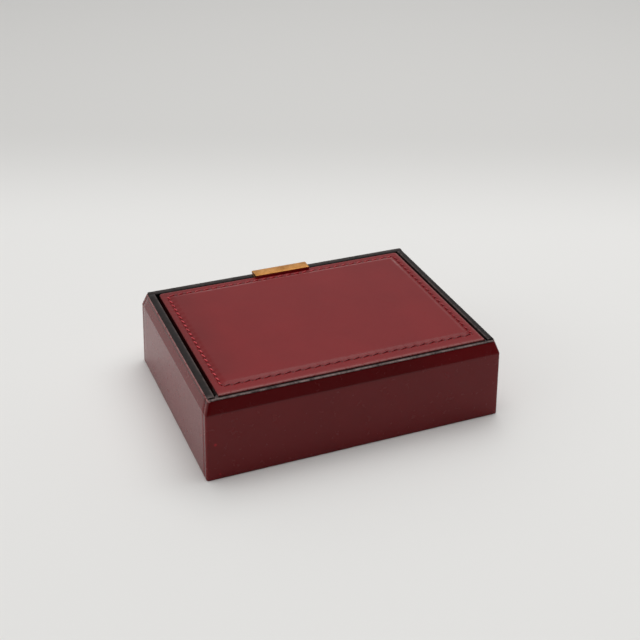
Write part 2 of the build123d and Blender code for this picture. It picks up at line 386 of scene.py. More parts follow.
def strip(name, rings):
    """A leather strip with its sharp edges softened."""
    piece = loft_rings(name, rings)
    round_edges(piece, STRIP_END, segments=2, angle=50)
    return piece


front_rim = strip("front_rim_strip", front_strip())
left_rim = strip("left_rim_strip", side_strip(-1))
right_rim = strip("right_rim_strip", side_strip(1))

# The black face above the ledge at the back
back_face = block(
    "back_recess_cover", (-WALL_HALF_LENGTH, -WALL_HALF_WIDTH, LEDGE_HEIGHT),
    (WALL_HALF_LENGTH, -RECESS_HALF_WIDTH, WALL_TOP),
)
round_edges(back_face, 0.15, segments=2)

# Hinge strip: on the back rim, down into the crease, and on under the lid's leather

HINGE_RISE = 0.3
CREASE_RADIUS = 0.7
UNDER_LID = 0.88
HINGE_EDGE = 0.4
CREASE_FROM = 270 - 64
CREASE_TO = 270 + 40


def hinge_section():
    """The strip's closed section as (y, height): over the rim, through the crease, back underneath."""
    outer = -rim_half_width
    over_cladding = -cladding_half_width + CLADDING
    lid_level = WALL_TOP + UNDER_LID
    grip = BOARD_BACK + HINGE_GRIP
    outer_edge = arc((outer + HINGE_EDGE, RIM_HEIGHT - HINGE_EDGE), HINGE_EDGE, 180, 90, 6)
    axis = (HINGE_FOLD, RIM_HEIGHT + HINGE_RISE)
    crease = arc(axis, CREASE_RADIUS, CREASE_FROM, CREASE_TO, 8)
    under = [(y, lid_level) for y in (HINGE_FOLD + 0.8, HINGE_FOLD + 1.4, BOARD_BACK, grip)]
    home = [(grip, WALL_TOP), (BOARD_BACK, WALL_TOP)]
    home += [(y, WALL_TOP) for y in spread(HINGE_FOLD + 1.4, HINGE_FOLD - 0.5, 7)]
    home += [(over_cladding, WALL_TOP), (over_cladding, CLADDING_TOP + SKIN)]
    rim = [(outer, CLADDING_TOP + SKIN), *outer_edge, (outer + 0.7, RIM_HEIGHT + 0.05)]
    return rim + crease + under + home


def hinge_rings():
    """Sections along the strip. It is as wide as the rim, and drawn in where it runs under the lid."""
    section = hinge_section()
    rings = []
    for share in spread(-1, 1, 60):
        ring = []
        for y, z in section:
            x = along_rim(share, -y, rim_half_width)
            if y > HINGE_FOLD - 0.05:
                x = share * (RECESS_HALF_LENGTH - RIM_TO_RIGHT - 0.05)
            if y > -RECESS_HALF_WIDTH + 0.2:
                x = share * BOARD_HALF_LENGTH
            ring.append((x, y, z))
        rings.append(ring)
    return rings


hinge = loft_rings("hinge_strip", hinge_rings())
shade_by_angle(hinge, 45)

# Lid leather: a fine grid on top, then down the edges, under the board and up inside

EDGE_ROUNDING = 0.7
LID_CORNER = 1.6
GROOVE_HALF = 0.7
GROOVE_DEPTH = 0.3
STITCH_CORNER = 2.6
FIELD_START = 1.0
FIELD_RUN = 1.8
FIELD_STEP = 0.42
CROWN = 0.4
TURN_IN = 6.0
NEAR_STITCHES = 26
FAR_STITCHES = 28
SIDE_STITCHES = 21
HOLE_RADIUS = 0.5
HOLE_DEPTH = 0.45
PUCKER = 0.11
PUCKER_REACH = 1.9
PUCKER_SINK = 0.2
GRID_FINE = 0.22
GRID_COARSE = 0.62
GRID_REACH = 1.5
TOP_HALF_LENGTH = LID_HALF_LENGTH - EDGE_ROUNDING
TOP_FRONT = LID_FRONT - EDGE_ROUNDING
TOP_BACK = LID_BACK + EDGE_ROUNDING
TOP_CORNER = LID_CORNER - EDGE_ROUNDING


def stitch_places():
    """Each stitch as (middle x, middle y, direction x, direction y, pitch), round the stitched rectangle."""
    places = []
    for count, side in ((NEAR_STITCHES, -1), (FAR_STITCHES, 1)):
        pitch = 2 * STITCH_HALF_LENGTH / count
        for k in range(count):
            places.append((-STITCH_HALF_LENGTH + (k + 0.5) * pitch, side * STITCH_HALF_WIDTH, 1, 0, pitch))
    pitch = 2 * STITCH_HALF_WIDTH / SIDE_STITCHES
    for side in (-1, 1):
        for k in range(SIDE_STITCHES):
            places.append((side * STITCH_HALF_LENGTH, -STITCH_HALF_WIDTH + (k + 0.5) * pitch, 0, 1, pitch))
    return places


def line_distance(x, y):
    """Distance of points from the stitched line, positive outside it."""
    core_x = STITCH_HALF_LENGTH - STITCH_CORNER
    core_y = STITCH_HALF_WIDTH - STITCH_CORNER
    over_x = np.abs(x) - core_x
    over_y = np.abs(y) - core_y
    outside = np.hypot(np.maximum(over_x, 0), np.maximum(over_y, 0))
    inside = np.minimum(np.maximum(over_x, over_y), 0)
    return outside + inside - STITCH_CORNER


def hole_closeness(x, y):
    """How close points are to the holes between the stitches: 1 at a hole, 0 away from it."""
    closest = np.zeros_like(x)
    for mid_x, mid_y, along_x, along_y, pitch in stitch_places():
        hole_x = mid_x + along_x * pitch / 2
        hole_y = mid_y + along_y * pitch / 2
        near = np.exp(-((x - hole_x) ** 2 + (y - hole_y) ** 2) / HOLE_RADIUS ** 2)
        closest = np.maximum(closest, near)
    return closest


def pucker_wave(x, y):
    """The leather's rise between the holes, along each side of the stitched rectangle."""
    near_side = np.cos(np.pi * (x + STITCH_HALF_LENGTH) / STITCH_HALF_LENGTH * NEAR_STITCHES)
    far_side = np.cos(np.pi * (x + STITCH_HALF_LENGTH) / STITCH_HALF_LENGTH * FAR_STITCHES)
    short_side = np.cos(np.pi * (y + STITCH_HALF_WIDTH) / STITCH_HALF_WIDTH * SIDE_STITCHES)
    long_wave = np.where(y < 0, near_side, far_side)
    on_long = np.abs(np.abs(y) - STITCH_HALF_WIDTH) < np.abs(np.abs(x) - STITCH_HALF_LENGTH)
    return -np.where(on_long, long_wave, short_side)


def lid_height(x, y):
    """Height of the lid's leather: a flat margin, the stitched groove, and a padded field."""
    distance = line_distance(x, y)
    rise = np.clip((-distance - FIELD_START) / FIELD_RUN, 0, 1)
    rise = rise * rise * (3 - 2 * rise)
    along = np.clip(1 - (x / STITCH_HALF_LENGTH) ** 2, 0, 1)
    across = np.clip(1 - (y / STITCH_HALF_WIDTH) ** 2, 0, 1)
    height = MARGIN_TOP + FIELD_STEP * rise + CROWN * (along * across)
    groove = np.exp(-(distance / GROOVE_HALF) ** 2)
    near = np.exp(-(distance / PUCKER_REACH) ** 2)
    height = height - GROOVE_DEPTH * groove - HOLE_DEPTH * hole_closeness(x, y)
    return height + PUCKER * near * (pucker_wave(x, y) - PUCKER_SINK)


def grid_lines(low, high, fine_at):
    """Grid lines between two places, closer together beside the stitched lines."""
    lines = [low]
    while lines[-1] < high - 1e-6:
        close = any(abs(lines[-1] - place) < GRID_REACH for place in fine_at)
        lines.append(lines[-1] + (GRID_FINE if close else GRID_COARSE))
    scale = (high - low) / (lines[-1] - low)
    return [low + (line - low) * scale for line in lines]


def clamp_corner(x, y):
    """Pull a point near a front corner on to the rounded outline of the lid's top."""
    core_x = TOP_HALF_LENGTH - TOP_CORNER
    core_y = TOP_FRONT - TOP_CORNER
    over_x = abs(x) - core_x
    over_y = y - core_y
    if over_x <= 0 or over_y <= 0:
        return x, y
    reach = max(over_x, over_y)
    length = math.hypot(over_x, over_y)
    return math.copysign(core_x + over_x * reach / length, x), core_y + over_y * reach / length


def outward(x, y):
    """Which way the outline of the lid's top faces at a point of it."""
    corner_x = abs(x) - (TOP_HALF_LENGTH - TOP_CORNER)
    corner_y = y - (TOP_FRONT - TOP_CORNER)
    if corner_x > 0 and corner_y > 0:
        size = math.hypot(corner_x, corner_y)
        return math.copysign(corner_x / size, x), corner_y / size
    out_x = (abs(x) > TOP_HALF_LENGTH - 1e-4) * math.copysign(1, x)
    out_y = (y > TOP_FRONT - 1e-4) * 1 - (y < TOP_BACK + 1e-4) * 1
    return out_x, out_y


def lid_leather_mesh():
    """The lid's leather as one closed shell."""
    columns = grid_lines(-TOP_HALF_LENGTH, TOP_HALF_LENGTH, (-STITCH_HALF_LENGTH, STITCH_HALF_LENGTH))
    rows = grid_lines(TOP_BACK, TOP_FRONT, (-STITCH_HALF_WIDTH, STITCH_HALF_WIDTH))
    step = min(range(len(rows)), key=lambda k: abs(rows[k] - BOARD_BACK))
    rows[step] = BOARD_BACK
    rows.insert(step, BOARD_BACK - 0.02)
    plan = [clamp_corner(x, y) for y in rows for x in columns]
    flat = np.array(plan)
    heights = lid_height(flat[:, 0], flat[:, 1])
    points = [(x, y, z) for (x, y), z in zip(plan, heights)]
    faces = grid_faces(len(columns), len(rows))
    previous = grid_border(len(columns), len(rows))
    around = [(*points[k], *outward(*plan[k])) for k in previous]
    for ring in skirt_rings(around):
        current = list(range(len(points), len(points) + len(ring)))
        points += ring
        faces += loop_faces(previous, current)
        previous = current
    faces.append(tuple(previous))
    leather = mesh_object("lid_leather_shell", points, faces, weld_mm=0.0005)
    shade_by_angle(leather, 50)
    return leather


def skirt_rings(around):
    """Rings from the lid's top edge: round the edge, down, under the board and up inside the leather."""
    rings = []
    for degrees in (25, 50, 75, 90):
        turn = math.radians(degrees)
        out, drop = EDGE_ROUNDING * math.sin(turn), EDGE_ROUNDING * (1 - math.cos(turn))
        rings.append([(x + ox * out, y + oy * out, z - drop) for x, y, z, ox, oy in around])
    outer = rings[-1]
    flap = [y < BOARD_BACK - 0.01 for _, y, _, _, _ in around]
    for share in (0.5, 1.0):
        ring = []
        for (x, y, z), thin in zip(outer, flap):
            low = PADDING_TOP + SKIN if thin else LID_BOTTOM
            ring.append((x, y, z + (low - z) * share))
        rings.append(ring)

    def level(half_length, front, height):
        """A level ring inside the edge. Over the hinge strip the leather stays above it instead."""
        ring = []
        for (x, y, _), thin in zip(outer, flap):
            if thin:
                px, py = max(-BOARD_HALF_LENGTH, min(x, BOARD_HALF_LENGTH)), BOARD_BACK
                ring.append((px, py, PADDING_TOP + SKIN))
            else:
                ring.append((max(-half_length, min(x, half_length)), min(y, front), height))
        return ring

    window_length, window_front = LID_HALF_LENGTH - TURN_IN, LID_FRONT - TURN_IN
    rings.append(level(window_length, window_front, LID_BOTTOM))
    rings.append(level(window_length, window_front, BOARD_BOTTOM - SKIN))
    rings.append(level(BOARD_HALF_LENGTH + SKIN, BOARD_FRONT + SKIN, BOARD_BOTTOM - SKIN))
    rings.append(level(BOARD_HALF_LENGTH + SKIN, BOARD_FRONT + SKIN, PADDING_TOP + SKIN))
    return rings


def to_right(piece):
    """Move a piece of the lid by as much as the lid lies to the right in its recess."""
    piece.data.transform(Matrix.Translation((LID_TO_RIGHT * MM, 0, 0)))
    return piece


# The lid's leather rises under the brass, behind the end of the tongue
LIP = 0.4
tongue_lip = block(
    "tongue_lip", (-TAB_LENGTH / 2 + 0.1, TAB_BACK + 0.08, MARGIN_TOP - 0.3),
    (TAB_LENGTH / 2 - 0.1, TAB_BACK + LIP, TONGUE_TOP - SKIN),
)
lid_cover = to_right(join("lid_leather_cover", [lid_leather_mesh(), tongue_lip]))

# Stitching: slanted threads sunk in the groove

THREAD_RADIUS = 0.3
THREAD_SHARE = 0.68
THREAD_SLANT = 0.36
THREAD_HEIGHT = 0.12
THREAD_SUNK = 0.16
THREAD_TIP = 0.10


def round_rings(points, radii, sides=8):
    """Round rings across a line of points, one at each."""
    rings = []
    for k, (point, radius) in enumerate(zip(points, radii)):
        ahead = Vector(points[min(k + 1, len(points) - 1)])
        behind = Vector(points[max(k - 1, 0)])
        along = (ahead - behind).normalized()
        across = along.cross(Vector((0, 0, 1))).normalized()
        up = across.cross(along)
        ring = []
        for i in range(sides):
            angle = 2 * math.pi * i / sides
            ring.append(tuple(Vector(point) + radius * (math.cos(angle) * across + math.sin(angle) * up)))
        rings.append(ring)
    return rings


def stitching():
    """All the stitches as one piece."""
    pieces = []
    for mid_x, mid_y, along_x, along_y, pitch in stitch_places():
        half = pitch * THREAD_SHARE / 2
        points, radii = [], []
        for share in spread(-1, 1, 8):
            slant = THREAD_SLANT * share * half
            x = mid_x + along_x * share * half - along_y * slant
            y = mid_y + along_y * share * half + along_x * slant
            points.append((x, y, MARGIN_TOP - THREAD_SUNK + THREAD_HEIGHT * (1 - 2 * share ** 4)))
            radii.append(THREAD_RADIUS * math.sqrt(max(1 - abs(share) ** 4, THREAD_TIP)))
        pieces.append(loft_rings("stitch", round_rings(points, radii)))
    return join("lid_stitching", pieces)


threads = to_right(stitching())

# Brass pull and its tongue

FOLD_CENTRE = TAB_FRONT - TAB_SHEET - TONGUE / 2
FOLD_MIDDLE = MARGIN_TOP + TONGUE / 2
LOWER_LEG_BACK = LID_FRONT + TAB_SHEET
BRASS_EDGE = 0.16
TONGUE_HALF_LENGTH = TAB_LENGTH / 2 - 0.07


def clip_section():
    """The folded sheet's section as (y, height)."""
    outer = arc((FOLD_CENTRE, FOLD_MIDDLE), TONGUE / 2 + TAB_SHEET, 90, -90, 10)
    inner = arc((FOLD_CENTRE, FOLD_MIDDLE), TONGUE / 2, -90, 90, 8)
    upper = [(TAB_BACK, TONGUE_TOP), (TAB_BACK, TONGUE_TOP + TAB_SHEET)]
    lower = [(LOWER_LEG_BACK, MARGIN_TOP - TAB_SHEET), (LOWER_LEG_BACK, MARGIN_TOP)]
    return upper + outer + lower + inner


clip = loft_rings(
    "brass_pull",
    [[(x, y, z) for y, z in clip_section()] for x in spread(-TAB_LENGTH / 2, TAB_LENGTH / 2, 30)],
)
round_edges(clip, BRASS_EDGE, segments=3, angle=50)
tongue = block(
    "pull_tongue", (-TONGUE_HALF_LENGTH, TAB_BACK + LIP, MARGIN_TOP),
    (TONGUE_HALF_LENGTH, FOLD_CENTRE, TONGUE_TOP),
)
round_edges(tongue, 0.1, segments=2)
to_right(clip)
to_right(tongue)

# Linings, pad and felt

FLOOR_TOP = 4.6
WELL_LINING = 1.0
WELL_HALF_LENGTH = 65.4
WELL_HALF_WIDTH = 46.65
DIVIDER = 4.0
FIT = 0.1
SLAB_CELL = 2.0
SLAB_EDGE = 0.25


def soft_slab(name, low, high, seed, unevenness=0.06, top=True):
    """A thin soft slab. Its upper or its lower face is uneven, and drawn in all round its border."""
    (x0, y0, z0), (x1, y1, z1) = low, high
    across = max(int((x1 - x0) / SLAB_CELL), 4)
    along = max(int((y1 - y0) / SLAB_CELL), 4)
    random = np.random.default_rng(seed)
    lumps = random.normal(0, 1, (along + 1, across + 1))
    for _ in range(2):
        lumps = (
            lumps + np.roll(lumps, 1, 0) + np.roll(lumps, -1, 0)
            + np.roll(lumps, 1, 1) + np.roll(lumps, -1, 1)
        ) / 5
    face_height = z1 if top else z0
    home_height = z0 if top else z1
    inward = -1 if top else 1
    points = []
    for r in range(along + 1):
        for c in range(across + 1):
            dip = abs(lumps[r, c]) * unevenness
            edge = r in (0, along) or c in (0, across)
            height = face_height + inward * (SLAB_EDGE * (z1 - z0) if edge else dip)
            points.append((x0 + (x1 - x0) * c / across, y0 + (y1 - y0) * r / along, height))
    faces = grid_faces(across + 1, along + 1)
    border = grid_border(across + 1, along + 1)
    home = list(range(len(points), len(points) + len(border)))
    points += [(points[k][0], points[k][1], home_height) for k in border]
    faces += loop_faces(border, home)
    faces.append(tuple(home))
    slab = mesh_object(name, points, faces)
    shade_by_angle(slab, 50)
    return slab


well_linings = []
for name, side in (("left_well_suede", -1), ("right_well_suede", 1)):
    ends = sorted((side * (DIVIDER / 2 + FIT), side * (WELL_HALF_LENGTH - FIT)))
    low = (ends[0], -WELL_HALF_WIDTH + FIT, FLOOR_TOP)
    high = (ends[1], WELL_HALF_WIDTH - FIT, FLOOR_TOP + WELL_LINING)
    well_linings.append(soft_slab(name, low, high, seed=3 + side))
lining_half_length = LID_HALF_LENGTH - TURN_IN - FIT
lid_lining = soft_slab(
    "lid_suede", (-lining_half_length, BOARD_BACK, LID_BOTTOM),
    (lining_half_length, LID_FRONT - TURN_IN - FIT, BOARD_BOTTOM), seed=7, top=False,
)
pad = soft_slab(
    "lid_pad", (-BOARD_HALF_LENGTH, BOARD_BACK + HINGE_GRIP, WALL_TOP),
    (BOARD_HALF_LENGTH, BOARD_FRONT, PADDING_TOP), seed=9, unevenness=0.03,
)
felt = soft_slab(
    "base_felt", (-under_half_length + FIT, -under_half_width + FIT, 0),
    (under_half_length - FIT, under_half_width - FIT, CLADDING), seed=11, top=False, unevenness=0.03,
)

# Materials

NICK_RED = (0.36, 0.004, 0.010)


def set_inputs(node, **values):
    """Set a node's inputs. An underscore stands for a space in their names."""
    for name, value in values.items():
        node.inputs[name.replace("_", " ")].default_value = value


class Nodes:
    """Short names for building one material's nodes."""

    def __init__(self, name):
        self.material = bpy.data.materials.new(name)
        self.material.use_nodes = True
        self.tree = self.material.node_tree
        self.shader = self.tree.nodes["Principled BSDF"]
        self.place = self.tree.nodes.new("ShaderNodeTexCoord").outputs["Object"]

    def link(self, output, socket):
        """Link an output to a socket."""
        self.tree.links.new(output, socket)

    def stretched(self, scale):
        """The object's coordinates, scaled by three factors."""
        node = self.tree.nodes.new("ShaderNodeMapping")
        set_inputs(node, Scale=scale)
        self.link(self.place, node.inputs["Vector"])
        return node.outputs["Vector"]

    def noise(self, scale, detail, rough, place=None):
        """A noise texture over the object's own coordinates or over others."""
        node = self.tree.nodes.new("ShaderNodeTexNoise")
        set_inputs(node, Scale=scale, Detail=detail, Roughness=rough)
        self.link(place or self.place, node.inputs["Vector"])
        return node.outputs["Fac"]

    def cells(self, scale):
        """Distance to the edges of small cells, as the pebble of leather."""
        node = self.tree.nodes.new("ShaderNodeTexVoronoi")
        node.feature = "DISTANCE_TO_EDGE"
        set_inputs(node, Scale=scale)
        self.link(self.place, node.inputs["Vector"])
        return node.outputs["Distance"]

    def ramp(self, value, low, high, start=0.0, end=1.0):
        """The value mapped from low..high to start..end."""
        node = self.tree.nodes.new("ShaderNodeMapRange")
        set_inputs(node, From_Min=low, From_Max=high, To_Min=start, To_Max=end)
        self.link(value, node.inputs["Value"])
        return node.outputs["Result"]

    def mix(self, factor, first, second):
        """A colour between two colours, each a tuple or an output."""
        node = self.tree.nodes.new("ShaderNodeMix")
        node.data_type = "RGBA"
        self.link(factor, node.inputs["Factor"])
        sockets = [s for s in node.inputs if s.type == "RGBA"]
        for socket, colour in zip(sockets, (first, second)):
            if isinstance(colour, tuple):
                socket.default_value = (*colour, 1)
            else:
                self.link(colour, socket)
        return [s for s in node.outputs if s.type == "RGBA"][0]

    def math(self, operation, first, second):
        """An operation on two values, each a number or an output."""
        node = self.tree.nodes.new("ShaderNodeMath")
        node.operation = operation
        for socket, value in zip(node.inputs, (first, second)):
            if isinstance(value, (int, float)):
                socket.default_value = value
            else:
                self.link(value, socket)
        return node.outputs["Value"]

    def distance(self, place_mm):
        """How far the shaded point is from a place."""
        node = self.tree.nodes.new("ShaderNodeVectorMath")
        node.operation = "DISTANCE"
        self.link(self.place, node.inputs[0])
        node.inputs[1].default_value = tuple(MM * part for part in place_mm)
        return node.outputs["Value"]

    def attribute(self, name):
        """A value that paint() keeps."""
        node = self.tree.nodes.new("ShaderNodeAttribute")
        node.attribute_name = name
        return node.outputs["Fac"]

    def bump(self, layers):
        """Bump from (height, depth in metres, strength) layers, one on another."""
        normal = None
        for height, distance, strength in layers:
            node = self.tree.nodes.new("ShaderNodeBump")
            set_inputs(node, Distance=distance, Strength=strength)
            self.link(height, node.inputs["Height"])
            if normal is not None:
                self.link(normal, node.inputs["Normal"])
            normal = node.outputs["Normal"]
        self.link(normal, self.shader.inputs["Normal"])

    def feed(self, **outputs):
        """Link outputs to the shader's sockets."""
        for name, output in outputs.items():
            self.link(output, self.shader.inputs[name.replace("_", " ")])

    def set(self, **values):
        """Set constant values on the shader's sockets."""
        set_inputs(self.shader, **values)


def red_leather(name, colour, light, dark, worn_and_highlit, gloss, specular, sheen, nicks=()):
    """Smooth leather, a little mottled, with painted shade where it is darkened, lighter where it is rubbed
    and where a highlight is painted, and brighter red at its nicks.
    """
    n = Nodes(name)
    mottle = n.noise(38, 4, 0.55)
    body = n.mix(n.ramp(mottle, 0.3, 0.7), dark, light)
    cloud = n.ramp(n.noise(9, 2, 0.5), 0.35, 0.65)
    body = n.mix(n.math("MULTIPLY", cloud, 0.5), body, colour)
    # Painted shade where darkened is set
    body = n.mix(n.attribute("darkened"), body, tuple(0.35 * part for part in colour))
    edge = n.attribute("wear_and_highlight")
    speck = n.ramp(n.noise(650, 3, 0.7), 0.30, 0.52)
    # Rubbed places and painted highlights, in one lighter colour
    body = n.mix(n.math("MULTIPLY", edge, speck), body, worn_and_highlit)
    for place, radius in nicks:
        body = n.mix(n.ramp(n.distance(place), 0.4 * radius * MM, radius * MM, 1.0, 0.0), body, NICK_RED)
    roughness = n.ramp(n.noise(300, 4, 0.6), 0.3, 0.7, gloss - 0.02, gloss + 0.02)
    n.feed(Base_Color=body, Roughness=roughness)
    n.set(Specular_IOR_Level=specular, Sheen_Weight=sheen, Sheen_Roughness=0.3)
    n.bump([
        (n.noise(70, 3, 0.5), 0.0004, 0.07),
        (n.cells(1500), 0.00012, 0.05),
        (n.noise(2600, 3, 0.6), 0.00005, 0.05),
    ])
    return n.material


def black_leather():
    """Black leather, rubbed grey-brown along its edges, with painted highlights there in the same grey-brown.
    """
    n = Nodes("black_leather_worn_and_highlit")
    speck = n.ramp(n.noise(520, 4, 0.7), 0.35, 0.65)
    body = n.mix(speck, (0.006, 0.004, 0.004), (0.016, 0.010, 0.009))
    worn_and_highlit = n.math("MULTIPLY", n.attribute("wear_and_highlight"), n.ramp(n.noise(260, 4, 0.7), 0.3, 0.6))
    # Rubbed places and painted highlights, in one grey-brown
    body = n.mix(worn_and_highlit, body, (0.26, 0.19, 0.18))
    n.feed(Base_Color=body, Roughness=n.ramp(n.noise(180, 3, 0.6), 0.3, 0.7, 0.38, 0.55))
    n.set(Specular_IOR_Level=0.14)
    n.bump([
        (n.noise(120, 3, 0.5), 0.0003, 0.15),
        (n.cells(1300), 0.00015, 0.2),
    ])
    return n.material


def thread_material():
    """Red thread, dark where shade is painted on it."""
    n = Nodes("red_thread")
    strands = n.ramp(n.noise(2200, 2, 0.5), 0.35, 0.65)
    unshaded = n.mix(strands, (0.36, 0.012, 0.020), (0.80, 0.10, 0.12))
    # Painted shade on the thread
    n.feed(Base_Color=n.mix(n.attribute("painted_thread_shade"), unshaded, (0.055, 0.0015, 0.004)))
    n.set(Roughness=0.45, Specular_IOR_Level=0.3)
    n.bump([(n.cells(3500), 0.0001, 0.4)])
    return n.material


def brushed_brass():
    """Brass, brushed lengthwise, blotched, and darker where it is tarnished."""
    n = Nodes("brushed_brass")
    brushing = n.noise(1, 4, 0.6, n.stretched((60, 2600, 2600)))
    tarnish = n.noise(220, 5, 0.7)
    body = n.mix(n.ramp(tarnish, 0.35, 0.65), (0.50, 0.21, 0.045), (0.82, 0.40, 0.12))
    body = n.mix(n.attribute("tarnished"), body, (0.16, 0.065, 0.018))
    n.feed(Base_Color=body, Roughness=n.ramp(brushing, 0.3, 0.7, 0.30, 0.42))
    n.set(Metallic=1.0)
    n.bump([(brushing, 0.00004, 0.25), (n.noise(200, 2, 0.5), 0.0002, 0.05)])
    return n.material


def suede(name, dark, light):
    """Short napped suede or felt."""
    n = Nodes(name)
    nap = n.noise(900, 4, 0.7)
    patches = n.noise(45, 3, 0.5)
    body = n.mix(n.ramp(nap, 0.3, 0.7), dark, light)
    body = n.mix(n.math("MULTIPLY", n.ramp(patches, 0.4, 0.6), 0.35), body, dark)
    n.feed(Base_Color=body)
    n.set(Roughness=0.95, Sheen_Weight=0.35, Sheen_Roughness=0.4)
    n.bump([(nap, 0.0003, 0.5)])
    return n.material


def wood_material():
    """Pale close-grained wood."""
    n = Nodes("case_wood")
    grain = n.noise(1, 5, 0.6, n.stretched((14, 240, 240)))
    body = n.mix(n.ramp(grain, 0.3, 0.7), (0.36, 0.22, 0.11), (0.52, 0.36, 0.20))
    n.feed(Base_Color=body, Roughness=n.ramp(grain, 0.3, 0.7, 0.5, 0.65))
    n.bump([(grain, 0.0002, 0.2)])
    return n.material


def liner_material():
    """Board covered with black suede paper."""
    n = Nodes("suede_paper")
    fibre = n.noise(1400, 4, 0.7)
    body = n.mix(n.ramp(fibre, 0.3, 0.7), (0.012, 0.010, 0.011), (0.030, 0.025, 0.026))
    n.feed(Base_Color=body)
    n.set(Roughness=0.85, Sheen_Weight=0.2)
    n.bump([(fibre, 0.0001, 0.35)])
    return n.material


def pad_material():
    """Grey wadding."""
    n = Nodes("grey_wadding")
    fibre = n.noise(700, 4, 0.7)
    n.feed(Base_Color=n.mix(n.ramp(fibre, 0.3, 0.7), (0.30, 0.29, 0.28), (0.42, 0.41, 0.39)))
    n.set(Roughness=0.95)
    n.bump([(fibre, 0.0003, 0.5)])
    return n.material


def dress(piece, material):
    """Give a piece one material."""
    piece.data.materials.clear()
    piece.data.materials.append(material)


def paint(piece, name, worth):
    """Keep a value for each vertex, worked out from its place in millimetres."""
    places = np.zeros(len(piece.data.vertices) * 3)
    piece.data.vertices.foreach_get("co", places)
    places = places.reshape(-1, 3) / MM
    values = np.clip(worth(places[:, 0], places[:, 1], places[:, 2]), 0, 1)
    layer = piece.data.attributes.new(name, "FLOAT", "POINT")
    layer.data.foreach_set("value", values.astype(np.float32))


def soft_step(value, low, high):
    """0 below one value and 1 above another, with a smooth rise between."""
    share = np.clip((value - low) / (high - low), 0, 1)
    return share * share * (3 - 2 * share)


def bump_at(value, middle, reach):
    """1 at a value, falling off smoothly on both sides."""
    return np.exp(-((value - middle) / reach) ** 2)


# How rubbed, tarnished or dark a piece is at places in millimetres, from 0 to 1. Much of the dark is painted
# shade, and some of the light is painted highlight.


def cladding_wear_and_highlight(x, y, z):
    """Rubbed at the cut top edge of the short sides, which also has a painted highlight."""
    short_side = np.abs(x) > CASE_LENGTH / 2 - lean_at(z) - 1.2
    return 0.85 * short_side * soft_step(z, CLADDING_TOP - 0.3, CLADDING_TOP - 0.1)


def bevel_shade(x, y, z):
    """Painted shade: the long sides' bevels are dark, less so to the right, with a painted shadow along their
    top under the strip. The others are a little dark, with painted shade in a crease.
    """
    long_side = np.abs(y) > CASE_WIDTH / 2 - lean_at(z) - 0.9
    on_bevel = soft_step(z, SHOULDER_HEIGHT - 0.6, SHOULDER_HEIGHT + 0.1)
    bevel = (0.62 - 0.34 * soft_step(x, 15, 60)) * on_bevel
    crease = 0.9 * bump_at(z, CLADDING_TOP - 1.1, 0.4) + 0.12 * on_bevel
    return np.where(long_side, bevel + 0.3 * (z > CLADDING_TOP - 0.5), crease)


def frayed_corner(x, y):
    """The corner where the left strip and the hinge strip meet is frayed."""
    return bump_at(np.hypot(x - rim_left - 1.5, y + rim_half_width - 1.2), 0, 1.5)


def side_rim_wear_and_highlight(x, y, z):
    """A painted highlight along the inner edge of a short side's strip, and the frayed corner."""
    edge = 0.3 * bump_at(np.abs(x - RIM_TO_RIGHT), RECESS_HALF_LENGTH + 0.35, 0.4)
    return (edge + frayed_corner(x, y)) * (z > WALL_TOP + 0.4)


def front_rim_middle_line(x, y, z):
    """A little lighter along the middle of the front strip."""
    return 0.2 * bump_at(y, (RECESS_HALF_WIDTH + rim_half_width) / 2, 0.5) * (z > WALL_TOP + 0.5)


def hinge_wear_and_highlight(x, y, z):
    """Rubbed all over the strip and frayed at the left corner, with a painted highlight along the outer edge,
    brightest near the middle.
    """
    edge = bump_at(y, -rim_half_width + 0.25, 0.35) * (0.7 + 0.3 * bump_at(x, 0, 45))
    return (0.2 + edge + frayed_corner(x, y)) * (z > WALL_TOP + 0.3)


def lid_wear_and_highlight(x, y, z):
    """Rubbed along the lid's upper edge, with a painted highlight on the rise inside the stitches, most at
    the far side.
    """
    edge_x = LID_HALF_LENGTH - np.abs(x)
    edge_y = np.minimum(LID_FRONT - y, y - LID_BACK)
    hinge_side = 0.3 * bump_at(y, LID_BACK + 0.6, 1.0)
    edge = 0.45 * bump_at(np.minimum(edge_x, edge_y), 0.1, 0.6) + hinge_side
    towards_far = soft_step(y, 20, STITCH_HALF_WIDTH - 4)
    # The painted highlight on the rise inside the stitches
    on_rise = bump_at(line_distance(x, y), -FIELD_START - FIELD_RUN / 2, 0.6)
    ridge = (0.2 + 0.8 * towards_far) * on_rise * soft_step(x, -62, -40)
    return (edge + ridge) * (z > MARGIN_TOP - 0.6)


def lid_shade(x, y, z):
    """The lid is darker towards its left end, and has painted shade down its sides, in the gap round it."""
    left = 0.22 * soft_step(-x, 44, 60) * soft_step(y, -44, -30)
    return left + 0.9 * soft_step(MARGIN_TOP - z, 0.3, 0.8)


def brass_tarnish(x, y, z):
    """The folded sheet is darker along its back edge and along the fold."""
    return 0.45 * bump_at(y, TAB_BACK, 0.3) + 0.5 * bump_at(y, TAB_FRONT, 0.6)


def thread_shade(x, y, z):
    """Painted shade on the thread: heaviest along the hinge, none along the left end, and between the two
    elsewhere.
    """
    near = 0.85 * soft_step(-y, STITCH_HALF_WIDTH - 2, STITCH_HALF_WIDTH - 1)
    right = 0.55 * soft_step(x, STITCH_HALF_LENGTH - 2, STITCH_HALF_LENGTH - 1)
    far = 0.3 * soft_step(y, STITCH_HALF_WIDTH - 2, STITCH_HALF_WIDTH - 1)
    return np.maximum(np.maximum(near, right), far)


